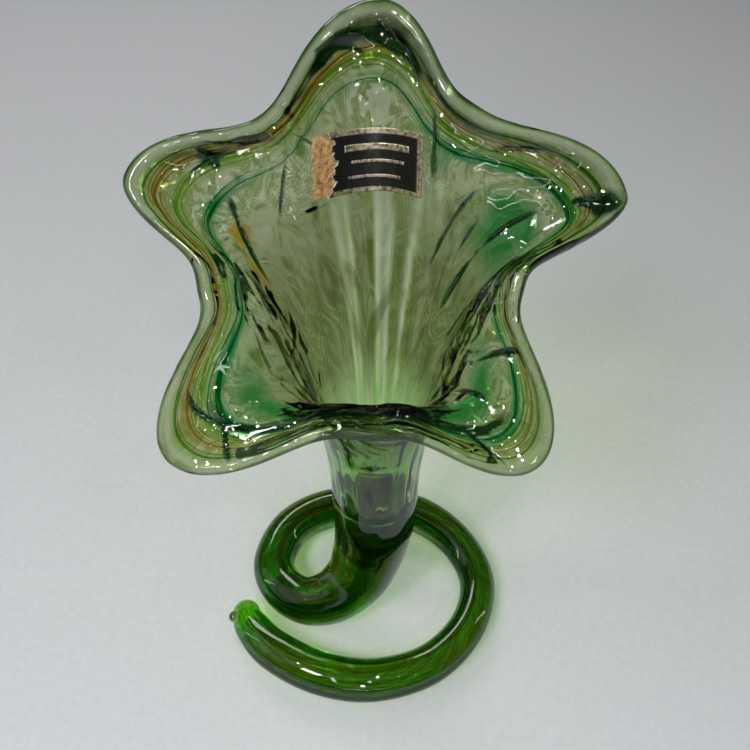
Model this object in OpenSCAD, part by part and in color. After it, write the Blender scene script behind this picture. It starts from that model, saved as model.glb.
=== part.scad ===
// Bud vase of hand-blown studio glass: a five-lobed star mouth on a trumpet bowl,
// a hollow neck, and a solid stem drawn out into a tail that coils into the foot.
// Colour trails and strands lie in grooves of the glass and canes run inside it, all face to face with it.
// The origin is on the table, on the axis of the neck. -Y is the side the mouth faces.

/* [Mouth] */
// Angle of the mouth's axis from upright, in degrees
mouth_tilt = 52; // [46:1:58]
// Height of the centre of the star above the table
mouth_height = 180; // [172:1:188]
// Size of the star, as a share of its five tip and notch radii
star_scale = 1; // [0.9:0.05:1.1]
// Narrowness of the lobes: a low value is a full lobe, a high value is a narrow point
lobe_point = 1; // [0.8:0.1:1.2]
// How far the notches between the lobes stand proud of the tips
notch_lift = 5; // [0:1:8]

/* [Wall] */
// Thickness of the blown wall of the bowl
wall = 3; // [2.6:0.1:3.6]
// Thickness of the rolled lip
lip_d = 5.6; // [5:0.2:6.4]
// Depth of the coloured trails in the outside of the wall
trail_depth = 1.2; // [0.8:0.1:1.4]

/* [Neck] */
// Outer radius at the top of the neck, where the bowl begins
neck_r = 18; // [17:0.5:19]
// Height of the top of the neck
neck_top = 105; // [100:1:110]
// Wall thickness of the neck
neck_wall = 4; // [3.6:0.1:4.6]
// Thickness of each lengthwise cane in the wall of the neck
neck_cane_d = 1.8; // [1.2:0.1:2]

/* [Stem and tail] */
// Height at which the solid stem begins
stem_top = 58; // [56:1:60]
// Outer radius at the top of the solid stem
stem_r = 15.6; // [15:0.1:16]
// Depth of the coloured strands in the stem and the tail
strand_depth = 1.6; // [1:0.1:2]
// Width of the sheared nub left on the end of the tail
nub_d = 5; // [4:0.5:6]

/* [Label] */
// Width of the foil label round the inside of the back wall
label_w = 33; // [29:1:34]
// Height of the foil label
label_h = 19; // [17:1:20]
// Width of its bare foil border
label_border = 1.6; // [1:0.1:2]
// Thickness of the foil
foil_t = 0.3; // [0.2:0.05:0.4]

/* [Hidden] */

clear_green = "#c3cfb0";
leaf_green = "#2f8a3a";
pale_green = "#a9d47c";
amber = "#a8731c";
teal = "#0d7a45";
olive = "#4d6123";
foil = "#b9b6a4";
black = "#0c0c0e";
tan_paper = "#c49a62";

mouth_x = -2;                 // the star sits a little left of the neck
flare_rise = 55;              // how far the wall keeps rising from the neck before it turns out
back_rise = 15;               // how much more it does at the back, and less in front
flare_out = 7;                // how far it opens on the way
star_n = 90;                  // sides round the mouth
lip_from = 0.95;              // where the rolled lip takes over from the wall, along a profile line
bowl_rows = [0, 0.12, 0.24, 0.36, 0.47, 0.57, 0.66, 0.74];
teal_span = [0.775, 0.80];
inner_green_span = [0.82, 0.845];
amber_span = [0.865, 0.90];
outer_green_span = [0.915, 0.94];
trail_spans = [teal_span, inner_green_span, amber_span, outer_green_span];

// Tips and notches of the star, anticlockwise from the notch in front: [angle, radius, is a tip,
// how sharply the stretch that follows leaves the tip]
star_knots = [[-88, 48.5, 0, 1.8], [-50, 75.5, 1, 1.5], [-11, 42, 0, 2], [14, 73, 1, 1.25],
              [57, 49, 0, 1.25], [87.5, 69, 1, 1.1], [127, 47, 0, 1.1], [161, 70, 1, 2.3],
              [192, 46, 0, 1.3], [225, 80, 1, 2.2], [272, 48.5, 0, 1]];
star_mid = 58;                // radius between the tips and the notches
shoulder_reach = 0.7;         // size of the star where the wall turns out to the lip, as a share of the lip's
shoulder_lobes = 0.4;         // and the depth of its lobes there

canes = [52, 74, 97, 118, 236, 305];    // places of the lengthwise canes round the neck
bubble_floor = 8;             // solid glass between the stem and the rounded end of the hollow
bubble_round = 10;            // height of that rounded end

// Centre line of the stem and tail, from the neck to the rounded end: [x, y, z, radius]
tail_route = [[0, 0, stem_top, stem_r], [-1, 0, 46, 15], [-3, -1, 34, 14.2], [-7.5, -4, 21.5, 12.9],
              [-17, -8, 12.6, 11.3], [-29, -8.5, 9.3, 9.8], [-39.5, -1, 8.6, 9], [-43.5, 12, 8.4, 8.8],
              [-37, 29, 8.4, 8.8], [-21, 39, 8.4, 8.8], [0, 40.5, 8.2, 8.6], [20, 36, 7.8, 8.2],
              [36, 22, 7.3, 7.7], [43.5, 2, 7, 7.4], [38, -19, 7, 7.4], [22, -35.5, 7.4, 7.8],
              [0, -42.5, 7.8, 8.2], [-22, -39.5, 8, 8.4], [-40.5, -30, 7.7, 8.1], [-50.5, -19, 6.6, 7],
              [-53.5, -12.5, 5.4, 5.8]];
steps = 4;                    // rings for each stretch of the route
coil_from = 6 * steps;        // ring at which the stem ends and the coil begins
tip_from = 19 * steps;        // ring at which the rounded end begins
last_ring = (len(tail_route) - 1) * steps;

// Strands in the tail: [first, last] angle from the top of the tail, anticlockwise looking along it
bright_span = [28, 62];
amber_strand_span = [-32, -4];
dark_span = [-104, -62];
strand_spans = [bright_span, amber_strand_span, dark_span];
section_angles = [-166, -145, -124, -104, -83, -62, -47, -32, -18, -4, 12, 28, 45, 62, 82, 103, 124,
                  145, 166, 187];

tip_r = tail_route[len(tail_route) - 1][3];
tip_turns = [18, 36, 54, 72]; // steps in which the end is rounded off
nub_turn = 75;                // side of the tail that the nub is on

label_at = 0.57;              // place of the label's middle up the back wall, along a profile line
label_bend = 30;              // radius to which the wall bends the label
label_left = 1;               // how far left of the middle of the back wall it was stuck on
print_t = 0.15;
paper_t = 0.2;
torn = [5, 6.4, 5.4, 6.8, 6, 7.4, 5.6, 6.6, 4.4, 5.8];    // width that is torn away, row by row
rules = [[4.2, 2, -7, 12.5], [0, 0.9, -5, 11], [-4.6, 0.9, -6, 10]];    // [height, thickness, left, right]

// Shared geometry

function unit(v) = v / norm(v);
function wrapped(a) = a < -88 ? wrapped(a + 360) : a >= 272 ? wrapped(a - 360) : a;
function knot_before(a) = max([for (i = [0 : len(star_knots) - 2]) if (star_knots[i][0] <= a) i]);

// Share of a lobe reached at a given angle: 1 at a tip and 0 at a notch
function lobe_share(a) =
    let (b = wrapped(a), i = knot_before(b), k = star_knots[i], m = star_knots[i + 1],
         s = (b - k[0]) / (m[0] - k[0]), from_tip = k[2] == 1 ? s : 1 - s)
    pow((1 + cos(180 * from_tip)) / 2, lobe_point * k[3]);

function star_radius(a) =
    let (b = wrapped(a), i = knot_before(b), k = star_knots[i], m = star_knots[i + 1],
         tip = max(k[1], m[1]), notch = min(k[1], m[1]))
    star_scale * (notch + (tip - notch) * lobe_share(a));

// Radius at which the wall turns outwards to the lip, a softer star than the lip itself
function shoulder(a) =
    shoulder_reach * star_scale * (star_mid + shoulder_lobes * (star_radius(a) / star_scale - star_mid));

// Directions in the plane of the mouth, and along its axis
mouth_up = [0, cos(mouth_tilt), sin(mouth_tilt)];
mouth_axis = [0, -sin(mouth_tilt), cos(mouth_tilt)];
function mouth_out(a) = [cos(a), 0, 0] + sin(a) * mouth_up;

// The four control points of the profile line at one angle, from the neck to the lip
function profile(a) =
    let (neck_mid = neck_r - neck_wall / 2,
         low = [neck_mid * cos(a), neck_mid * sin(a), neck_top],
         lip = [mouth_x, 0, mouth_height] + star_radius(a) * mouth_out(a)
               + notch_lift * (1 - lobe_share(a)) * mouth_axis)
    [low, low + [flare_out * cos(a), flare_out * sin(a), flare_rise + back_rise * sin(a)],
     lip - (star_radius(a) - shoulder(a)) * mouth_out(a), lip];

function bezier(p, t) =
    pow(1 - t, 3) * p[0] + 3 * t * pow(1 - t, 2) * p[1] + 3 * t * t * (1 - t) * p[2] + pow(t, 3) * p[3];
function bezier_slope(p, t) =
    3 * pow(1 - t, 2) * (p[1] - p[0]) + 6 * t * (1 - t) * (p[2] - p[1]) + 3 * t * t * (p[3] - p[2]);

function mid_wall(a, t) = bezier(profile(a), t);

// Direction out of the wall, level where the bowl meets the neck so that they meet on a flat ring
function wall_out(a, t) =
    let (out = cross(mid_wall(a + 1, t) - mid_wall(a - 1, t), bezier_slope(profile(a), t)))
    unit([out[0], out[1], out[2] * min(1, 8 * t)]);
function wall_at(t) = wall + (neck_wall - wall) * pow(1 - t, 2);

// A point of the bowl: t runs from the neck to the lip, depth from the outside (0) inwards in mm
function bowl_point(a, t, depth) = mid_wall(a, t) + (wall_at(t) / 2 - depth) * wall_out(a, t);
function inside_point(a, t) = bowl_point(a, t, wall_at(t));

// Triangles of a solid whose cross-section has m points and whose rings close on themselves
function loop_faces(n, m) =
    [for (i = [0 : n - 1]) for (k = [0 : m - 1])
        let (a = i * m + k, b = i * m + (k + 1) % m, c = ((i + 1) % n) * m + (k + 1) % m,
             d = ((i + 1) % n) * m + k)
        each [[a, b, c], [a, c, d]]];

// Triangles of a swept solid with n rings of m points, closed by a middle point at each end
function swept_faces(n, m) =
    concat([for (i = [0 : n - 2]) for (k = [0 : m - 1])
               let (a = i * m + k, b = i * m + (k + 1) % m)
               each [[a, b, b + m], [a, b + m, a + m]]],
           [for (k = [0 : m - 1]) [n * m, (k + 1) % m, k]],
           [for (k = [0 : m - 1]) [n * m + 1, (n - 1) * m + k, (n - 1) * m + (k + 1) % m]]);

// A band round the bowl with the given cross-section, as a list of [t, depth]
module band(section) {
    points = [for (i = [0 : star_n - 1]) for (s = section) bowl_point(i * 360 / star_n, s[0], s[1])];
    polyhedron(points, loop_faces(star_n, len(section)), convexity = 8);
}

module trail(span) {
    band([[span[0], 0], [span[1], 0], [span[1], trail_depth], [span[0], trail_depth]]);
}

// Bowl

module rim_lip() {
    bead = [for (i = [0 : 8]) -25 + i * 28.75];
    points = [for (i = [0 : star_n - 1])
                 let (a = i * 360 / star_n, mid = mid_wall(a, 1), out = wall_out(a, 1),
                      on = unit(bezier_slope(profile(a), 1)))
                 each concat([inside_point(a, lip_from), bowl_point(a, lip_from, 0)],
                             [for (b = bead) mid + lip_d / 2 * (cos(b) * out + sin(b) * on)])];
    color(clear_green) polyhedron(points, loop_faces(star_n, len(bead) + 2), convexity = 8);
}

module bowl_wall() {
    plain = [for (t = bowl_rows) [t, 0]];
    grooves = [for (s = trail_spans) each [[s[0], 0], [s[0], trail_depth], [s[1], trail_depth], [s[1], 0]]];
    rows = concat(bowl_rows, [for (s = trail_spans) s[0]], [lip_from]);
    inside = [for (i = [len(rows) - 1 : -1 : 0]) [rows[i], wall_at(rows[i])]];
    color(clear_green) band(concat(plain, grooves, [[lip_from, 0]], inside));
}

module trail_green_outer() { color(leaf_green) trail(outer_green_span); }
module trail_amber() { color(amber) trail(amber_span); }
module trail_green_inner() { color(pale_green) trail(inner_green_span); }
module trail_teal() { color(teal) trail(teal_span); }

// Neck

// Outside radius of the neck at a height
function neck_radius(z) = stem_r + (neck_r - stem_r) * (z - stem_top) / (neck_top - stem_top);

// A cane inside the wall, halfway through it and leaning with it, that ends 1 mm under the top of the neck
module cane(a) {
    foot = stem_top + bubble_floor;
    low = neck_radius(foot) - neck_wall / 2;
    high = neck_radius(neck_top) - neck_wall / 2;
    translate([low * cos(a), low * sin(a), foot]) rotate([0, atan2(high - low, neck_top - foot), a])
        cylinder(d = neck_cane_d, h = neck_top - foot - 1, $fn = 24);
}

module neck() {
    bubble_z = stem_top + bubble_floor + bubble_round;
    bubble_r = neck_radius(bubble_z) - neck_wall;
    hollow_r = neck_r - neck_wall;
    color(clear_green) difference() {
        rotate_extrude($fn = 90)
            polygon([[0, stem_top], [stem_r, stem_top], [neck_r, neck_top], [0, neck_top]]);
        rotate_extrude($fn = 90)
            polygon(concat([for (b = [0 : 10 : 90]) [bubble_r * sin(b), bubble_z - bubble_round * cos(b)]],
                           [[hollow_r, neck_top], [hollow_r, neck_top + 1], [0, neck_top + 1]]));
        for (a = canes) cane(a);
    }
}

module neck_canes() {
    color(pale_green) for (a = canes) cane(a);
}

// Stem and tail

// Smooth curve through the route, four values at a time
function route_at(i) = tail_route[max(0, min(len(tail_route) - 1, i))];
function spline(s) =
    let (i = min(floor(s), len(tail_route) - 2), f = s - i,
         p = route_at(i - 1), q = route_at(i), u = route_at(i + 1), v = route_at(i + 2))
    0.5 * (2 * q + (u - p) * f + (2 * p - 5 * q + 4 * u - v) * f * f + (3 * q - p - 3 * u + v) * f * f * f);

function xyz(v) = [v[0], v[1], v[2]];
function ring_centre(k) = xyz(spline(k / steps));
function ring_radius(k) = spline(k / steps)[3];
function heading(k) = k == 0 ? [0, 0, -1] : unit(xyz(spline(k / steps + 0.05) - spline(k / steps - 0.05)));

// Direction of the top of the tail: up, or on the upright stem the side that turns to the top
function topside(k) =
    let (h = heading(k), lean = [0, 0, 1] + 0.05 * [-1, 0, 0])
    unit(lean - (lean * h) * h);

// A point of the tail at ring k, an angle from its top, and a depth below its surface
function tail_point(k, angle, depth) =
    let (h = heading(k), top = topside(k), side = cross(top, h))
    ring_centre(k) + (ring_radius(k) - depth) * (cos(angle) * top + sin(angle) * side);

// A stretch of the tail with the given cross-section, as a list of [angle, depth], from ring a to ring b.
// Its ends are closed round the middle, which is a point of the cross-section or, left out, the centre line.
module stretch(section, a, b, middle = undef) {
    rings = [for (k = [a : b]) for (s = section) tail_point(k, s[0], s[1])];
    ends = [for (k = [a, b]) is_undef(middle) ? ring_centre(k) : tail_point(k, middle[0], middle[1])];
    polyhedron(concat(rings, ends), swept_faces(b - a + 1, len(section)), convexity = 8);
}

// The cross-section of the tail, which steps down into a groove for each strand
function starts(a) = len([for (s = strand_spans) if (a == s[0]) s]) > 0;
function ends(a) = len([for (s = strand_spans) if (a == s[1]) s]) > 0;
function within(a) = len([for (s = strand_spans) if (a > s[0] && a < s[1]) s]) > 0;
tail_section = [for (a = section_angles)
    each starts(a) ? [[a, 0], [a, strand_depth]]
       : ends(a) ? [[a, strand_depth], [a, 0]]
       : [[a, within(a) ? strand_depth : 0]]];

module above_table() {
    difference() {
        children();
        translate([-100, -100, -20]) cube([200, 200, 20]);
    }
}

module strand(span) {
    angles = [for (a = section_angles) if (a >= span[0] && a <= span[1]) a];
    outside = [for (a = angles) [a, 0]];
    inside = [for (i = [len(angles) - 1 : -1 : 0]) [angles[i], strand_depth]];
    stretch(concat(outside, inside), 0, tip_from, [(span[0] + span[1]) / 2, strand_depth / 2]);
}

module stem_core() {
    color(olive) above_table() stretch(tail_section, 0, coil_from);
}

module base_coil() {
    color(olive) above_table() stretch(tail_section, coil_from, tip_from);
}

module strand_bright_green() { color(leaf_green) strand(bright_span); }
module strand_amber() { color(amber) strand(amber_strand_span); }
module strand_dark_green() { color(teal) strand(dark_span); }

module tip_solid() {
    angles = [for (a = [-166 : 24 : 190]) a];
    body = [for (k = [tip_from : last_ring]) for (a = angles) tail_point(k, a, 0)];
    end = ring_centre(last_ring);
    round_off = [for (b = tip_turns) for (a = angles)
        end + cos(b) * (tail_point(last_ring, a, 0) - end) + sin(b) * tip_r * heading(last_ring)];
    poles = [ring_centre(tip_from), end + tip_r * heading(last_ring)];
    rings = last_ring - tip_from + 1 + len(tip_turns);
    above_table() polyhedron(concat(body, round_off, poles), swept_faces(rings, len(angles)), convexity = 4);
}

module tail_tip() { color(leaf_green) tip_solid(); }

// The scar where the tail was sheared off, a lump on the outside of the rounded end
module shear_nub() {
    color(olive) difference() {
        translate(tail_point(last_ring, nub_turn, nub_d / 10)) sphere(d = nub_d, $fn = 32);
        tip_solid();
    }
}

// Label

// A point of the label, by its distance right of and above its middle and its height off the glass
function label_point(right, above, off) =
    let (chord = label_bend * sin(right / label_bend * 180 / PI) - label_left,
         at = settle([90 - right * label_turn_step, label_at + above * label_rise_step], chord, above, 10))
    bowl_point(at[0], at[1], wall_at(at[1]) + off);

// Place on the bowl, as [angle, t], that lies a chord right of the label's middle and a rise above it
label_middle = inside_point(90, label_at);
label_up = unit(bezier_slope(profile(90), label_at));
label_rise_step = 1 / norm(bezier_slope(profile(90), label_at));
label_turn_step = 2 / norm(inside_point(89, label_at) - inside_point(91, label_at));
function settle(at, chord, above, tries) =
    let (from = inside_point(at[0], at[1]) - label_middle)
    tries == 0 ? at
               : settle(at + 0.8 * [(from[0] - chord) * label_turn_step,
                                    (above - from * label_up) * label_rise_step], chord, above, tries - 1);

// A thin sheet that follows the glass. Its left and right edges are functions of the row.
module sheet(rows, lefts, rights, low, high) {
    cols = 16;
    n = len(rows);
    function grid(off) = [for (j = [0 : n - 1]) for (i = [0 : cols])
        label_point(lefts[j] + (rights[j] - lefts[j]) * i / cols, rows[j], off)];
    m = n * (cols + 1);
    function at(j, i) = j * (cols + 1) + i;
    function strip(a, b) = [[a, b, b + m], [a, b + m, a + m]];
    faces = concat(
        [for (j = [0 : n - 2]) for (i = [0 : cols - 1])
            each [[at(j, i), at(j, i + 1), at(j + 1, i + 1)], [at(j, i), at(j + 1, i + 1), at(j + 1, i)]]],
        [for (j = [0 : n - 2]) for (i = [0 : cols - 1])
            each [[m + at(j, i), m + at(j + 1, i + 1), m + at(j, i + 1)],
                  [m + at(j, i), m + at(j + 1, i), m + at(j + 1, i + 1)]]],
        [for (i = [0 : cols - 1]) each strip(at(0, i + 1), at(0, i))],
        [for (i = [0 : cols - 1]) each strip(at(n - 1, i), at(n - 1, i + 1))],
        [for (j = [0 : n - 2]) each strip(at(j, 0), at(j + 1, 0))],
        [for (j = [0 : n - 2]) each strip(at(j + 1, cols), at(j, cols))]);
    polyhedron(concat(grid(low), grid(high)), faces, convexity = 4);
}

function even_rows(height) = [for (j = [0 : 9]) height * (j / 9 - 0.5)];
function all_rows(x) = [for (j = [0 : 9]) x];
function torn_edge(extra) = [for (w = torn) -label_w / 2 + w + extra];

module label_foil() {
    color(foil) sheet(even_rows(label_h), torn_edge(0), all_rows(label_w / 2), 0, foil_t);
}

module label_print() {
    color(black) sheet(even_rows(label_h - 2 * label_border), torn_edge(0.4),
                       all_rows(label_w / 2 - label_border), foil_t, foil_t + print_t);
}

// Plain rules that stand where the print was
module label_rules() {
    color(foil) for (rule = rules)
        sheet([rule[0] - rule[1] / 2, rule[0] + rule[1] / 2], [for (j = [0, 1]) rule[2]],
              [for (j = [0, 1]) rule[3]], foil_t + print_t, foil_t + 2 * print_t);
}

module label_torn_paper() {
    color(tan_paper) sheet(even_rows(label_h - 1), all_rows(-label_w / 2), torn_edge(-0.2), 0, paper_t);
}

rim_lip();
bowl_wall();
trail_green_outer();
trail_amber();
trail_green_inner();
trail_teal();
neck();
neck_canes();
stem_core();
base_coil();
strand_bright_green();
strand_amber();
strand_dark_green();
tail_tip();
shear_nub();
label_foil();
label_print();
label_rules();
label_torn_paper();
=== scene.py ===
from math import radians
import bpy
import numpy as np
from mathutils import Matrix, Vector


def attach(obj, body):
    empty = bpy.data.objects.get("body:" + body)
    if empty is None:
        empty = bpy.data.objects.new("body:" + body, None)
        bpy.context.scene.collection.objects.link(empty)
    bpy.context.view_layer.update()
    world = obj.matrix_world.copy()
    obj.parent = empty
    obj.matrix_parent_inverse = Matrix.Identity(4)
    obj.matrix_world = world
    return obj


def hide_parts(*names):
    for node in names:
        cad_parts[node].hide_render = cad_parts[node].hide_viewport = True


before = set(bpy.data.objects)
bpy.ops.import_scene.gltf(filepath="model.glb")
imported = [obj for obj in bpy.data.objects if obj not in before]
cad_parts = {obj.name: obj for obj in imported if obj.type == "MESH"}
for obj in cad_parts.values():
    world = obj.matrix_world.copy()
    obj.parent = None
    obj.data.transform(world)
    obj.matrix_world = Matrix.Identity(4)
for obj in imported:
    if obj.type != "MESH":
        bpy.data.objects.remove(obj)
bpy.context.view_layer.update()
bpy.ops.object.select_all(action="DESELECT")
scene = bpy.context.scene
mm = 0.001  # the shapes below are worked out in millimetres and degrees, as in the CAD


def fromHex(code):  # an sRGB hex colour as linear values
    channels = [int(code[i:i + 2], 16) / 255 for i in (1, 3, 5)]
    return (*[c / 12.92 if c <= 0.04045 else ((c + 0.055) / 1.055) ** 2.4 for c in channels], 1)


def setInputs(node, inputs):  # to a value, a socket, or a node whose first output is taken
    for name, source in inputs.items():
        source = source.outputs[0] if isinstance(source, bpy.types.Node) else source
        if isinstance(source, bpy.types.NodeSocket):
            node.id_data.links.new(source, node.inputs[name])
        else:
            node.inputs[name].default_value = source


def addNode(tree, kind, inputs={}, **settings):
    node = tree.nodes.new("ShaderNode" + kind)
    for name, value in settings.items():
        setattr(node, name, value)
    setInputs(node, inputs)
    return node


def setStops(node, stops):  # a colour ramp from [(place, colour)]
    ramp = node.color_ramp
    while len(ramp.elements) < len(stops):
        ramp.elements.new(1)
    for element, (place, colour) in zip(ramp.elements, stops):
        element.position = place
        element.color = fromHex(colour)


def newMaterial(name):  # an empty material with its output and one Principled shader
    material = bpy.data.materials.new(name)
    material.use_nodes = True
    tree = material.node_tree
    tree.nodes.clear()
    shader = addNode(tree, "BsdfPrincipled")
    output = addNode(tree, "OutputMaterial", {"Surface": shader})
    return material, tree, shader, output


# glass that lets lamp light, tinted by the shade, through to what stands behind it
def makeClear(tree, shader, output, ior, shade):
    setInputs(shader, {"Transmission Weight": 1, "Roughness": 0, "IOR": ior})
    path = addNode(tree, "LightPath")
    passed = addNode(tree, "BsdfTransparent", {"Color": fromHex(shade)})
    both = addNode(tree, "MixShader", {0: path.outputs["Is Shadow Ray"], 1: shader, 2: passed})
    setInputs(output, {"Surface": both})


def unit(v):
    return v / np.linalg.norm(v, axis=-1, keepdims=True)


def ease(x):  # 0 to 1 with soft ends
    x = np.clip(x, 0, 1)
    return x * x * (3 - 2 * x)


def cosd(a):
    return np.cos(np.radians(a))


def sind(a):
    return np.sin(np.radians(a))


# the form of the hollow part; a place up the wall runs from 0 at the top of the neck to 1 at the lip
vase = dict(
    mouthTilt=52, mouthX=-2, mouthHeight=180, notchLift=5,  # the star leans towards the front
    wall=3, neckWall=4, lipRadius=2.8,
    neckTop=105, neckR=18, stemTop=58, stemR=15.6,
    flareRise=55, backRise=15, flareOut=7,
    shoulder=0.7, starMid=58, shoulderLobes=0.4,
    bubbleLow=66, bubbleRound=10,  # the rounded end of the hollow
    ribs=16, ribDepth=0.14,  # optic ribs from the mould
    wave=0.6, fineWave=0.5, wrinkle=0.2,  # hand-made unevenness of the wall, from broad to fine
)
bowlRise = 110  # length of the wall's line from the neck to the lip, roughly
neckRise = vase["neckTop"] - vase["stemTop"]
hollowFoot = (vase["bubbleLow"] + vase["bubbleRound"] - vase["neckTop"]) / neckRise  # where its end rounds in
evenPatch = dict(angle=90, at=0.57, halfTurn=46, halfRise=0.18)  # the wall is left even where the label lies
# tips and notches of the star: angle, radius, is a tip, how sharply the next stretch leaves the tip
starKnots = [(-88, 48.5, 0, 1.8), (-50, 75.5, 1, 1.5), (-11, 42, 0, 2), (14, 73, 1, 1.25), (57, 49, 0, 1.25),
             (87.5, 69, 1, 1.1), (127, 47, 0, 1.1), (161, 70, 1, 2.3), (192, 46, 0, 1.3), (225, 80, 1, 2.2),
             (272, 48.5, 0, 1)]
# folds pinched into the wall: from angle, place up the wall, to angle, place, depth and width in millimetres
folds = [(146, 0.95, 147, 0.8, 1.6, 1.4), (176, 0.7, 194, 0.72, 1.6, 1.5), (39, 0.7, 50, 0.34, 1.5, 1.7),
         (20, 0.74, 27, 0.5, 1.7, 1.6), (27, 0.5, 31, 0.3, 1.5, 1.6), (9, 0.5, 18, 0.22, 1.4, 1.5),
         (-33, 0.58, -30, 0.96, 1.8, 1.5), (-42, 0.42, -46, 0.7, 1.5, 1.5), (214, 0.92, 228, 0.8, 1.7, 1.5),
         (228, 0.82, 236, 0.99, 1.7, 1.4), (-59, 0.82, -56, 0.99, 1.6, 1.4), (17, 0.85, 12, 1, 2.2, 1.5),
         (105, 0.99, 91, 0.86, 2, 1.7), (87, 0.95, 74, 0.87, 2, 1.6), (126, 0.76, 142, 0.54, 1.3, 1.7),
         (150, 0.72, 165, 0.42, 1.4, 1.8), (169, 0.64, 179, 0.32, 1.2, 1.7),
         (121, 0.84, 111, 0.66, 1.2, 1.5), (67, 0.88, 59, 0.62, 1.4, 1.6), (198, 0.66, 216, 0.48, 1.4, 1.6),
         (3, 0.8, -16, 0.48, 1.4, 1.6), (-62, 0.58, -80, 0.72, 1.3, 1.5), (252, 0.74, 236, 0.56, 1.4, 1.6),
         (30, 0.94, 44, 0.84, 1.4, 1.5), (134, 0.9, 158, 0.84, 1.3, 1.5), (33, 0.62, 36, 0.44, 1.2, 1.5)]
# stains in the wall: angle, place, size round and up in millimetres, colour number, strength
stains = [(100, 0.94, 7, 4, 0, 1), (82, 0.91, 6, 3.5, 0, 1), (-88, 0.8, 22, 4.5, 0, 0.75),
          (-60, 0.8, 12, 3.5, 0, 0.6), (-118, 0.8, 12, 3.5, 0, 0.55), (146, 0.9, 2.5, 5, 0, 0.8),
          (14, 0.95, 3, 8, 0, 0.6), (157, 0.6, 3, 5, 1, 1), (164, 0.5, 2.4, 7, 1, 0.9),
          (171, 0.42, 2, 5, 1, 0.8), (-20, 0.35, 5, 12, 1, 0.5), (24, 0.56, 9, 11, 2, 0.9),
          (22, 0.68, 9, 8, 2, 0.8), (-60, 0.62, 26, 10, 2, 1), (-118, 0.62, 24, 10, 2, 0.9),
          (-88, 0.74, 26, 9, 2, 1), (190, 0.74, 8, 8, 2, 0.6), (62, 0.72, 7, 10, 2, 0.6),
          (118, -0.3, 8, 20, 2, 0.8), (-70, -0.2, 6, 22, 2, 0.9), (-100, -0.2, 5, 24, 1, 0.7),
          (-40, -0.3, 5, 24, 1, 0.5)]


def starAt(a):  # radius of the star and its share of a lobe
    lowest = starKnots[0][0]
    b = (np.asarray(a, float) - lowest) % 360 + lowest
    radius, share = np.zeros_like(b), np.zeros_like(b)
    for (first, r0, isTip, sharp), (last, r1, _, _) in zip(starKnots, starKnots[1:]):
        here = (b >= first) & (b <= last)
        s = (b[here] - first) / (last - first)
        part = ((1 + np.cos(np.pi * (s if isTip else 1 - s))) / 2) ** sharp
        share[here] = part
        radius[here] = min(r0, r1) + abs(r1 - r0) * part
    return radius, share


def profile(a):  # the four control points of the wall's line at each angle
    radius, share = starAt(a)
    up = np.array([0, cosd(vase["mouthTilt"]), sind(vase["mouthTilt"])])
    axis = np.array([0, -sind(vase["mouthTilt"]), cosd(vase["mouthTilt"])])
    out = np.outer(cosd(a), [1, 0, 0]) + np.outer(sind(a), up)
    middle = vase["neckR"] - vase["neckWall"] / 2
    low = np.stack([middle * cosd(a), middle * sind(a), np.full_like(a, vase["neckTop"])], -1)
    rise = np.stack([vase["flareOut"] * cosd(a), vase["flareOut"] * sind(a),
                     vase["flareRise"] + vase["backRise"] * sind(a)], -1)
    lip = (np.array([vase["mouthX"], 0, vase["mouthHeight"]]) + radius[:, None] * out
           + (vase["notchLift"] * (1 - share))[:, None] * axis)
    soft = vase["shoulder"] * (vase["starMid"] + vase["shoulderLobes"] * (radius - vase["starMid"]))
    return low, low + rise, lip - (radius - soft)[:, None] * out, lip


def bezier(p, t):
    t = t[:, None]
    return (1 - t) ** 3 * p[0] + 3 * t * (1 - t) ** 2 * p[1] + 3 * t ** 2 * (1 - t) * p[2] + t ** 3 * p[3]


def bezierSlope(p, t):
    t = t[:, None]
    return 3 * (1 - t) ** 2 * (p[1] - p[0]) + 6 * t * (1 - t) * (p[2] - p[1]) + 3 * t ** 2 * (p[3] - p[2])


def wallOut(a, t):  # the direction out of the wall, level at the neck
    out = np.cross(bezier(profile(a + 1), t) - bezier(profile(a - 1), t), bezierSlope(profile(a), t))
    out[:, 2] *= np.minimum(1, 8 * t)
    return unit(out)


def halfWall(t):  # it thins up the bowl, and thickens into the rolled lip
    even = vase["wall"] + (vase["neckWall"] - vase["wall"]) * (1 - t) ** 2
    return even / 2 + (vase["lipRadius"] - vase["wall"] / 2) * ease((t - 0.88) / 0.12)


# smooth unevenness that closes on itself round the wall
def waves(a, h, seed, mostTurns, mostAlong, count=26):
    dice = np.random.default_rng(seed)
    total = np.zeros_like(a)
    for _ in range(count):
        turns, along = dice.integers(mostTurns // 4, mostTurns), dice.uniform(mostAlong / 4, mostAlong)
        start, slant = dice.uniform(0, 6.28, 2)
        total += np.sin(np.radians(turns * a) + start + 2 * np.sin(3 * h + slant)) * np.sin(along * h + slant)
    return total / count ** 0.5 / 2


def turnFrom(a, b):  # the shorter turn between two angles
    return (a - b + 180) % 360 - 180


def labelRoom(a, h):  # 0 on the even patch, 1 away from it
    across = ease((evenPatch["halfTurn"] - np.abs(turnFrom(a, evenPatch["angle"]))) / 12)
    return 1 - across * ease((evenPatch["halfRise"] - np.abs(h - evenPatch["at"])) / 0.06)


def wallReach(h):  # millimetres round the wall for each degree, roughly
    return (18 + 30 * np.clip(h, 0, 1) ** 1.5) * np.pi / 180


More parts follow.
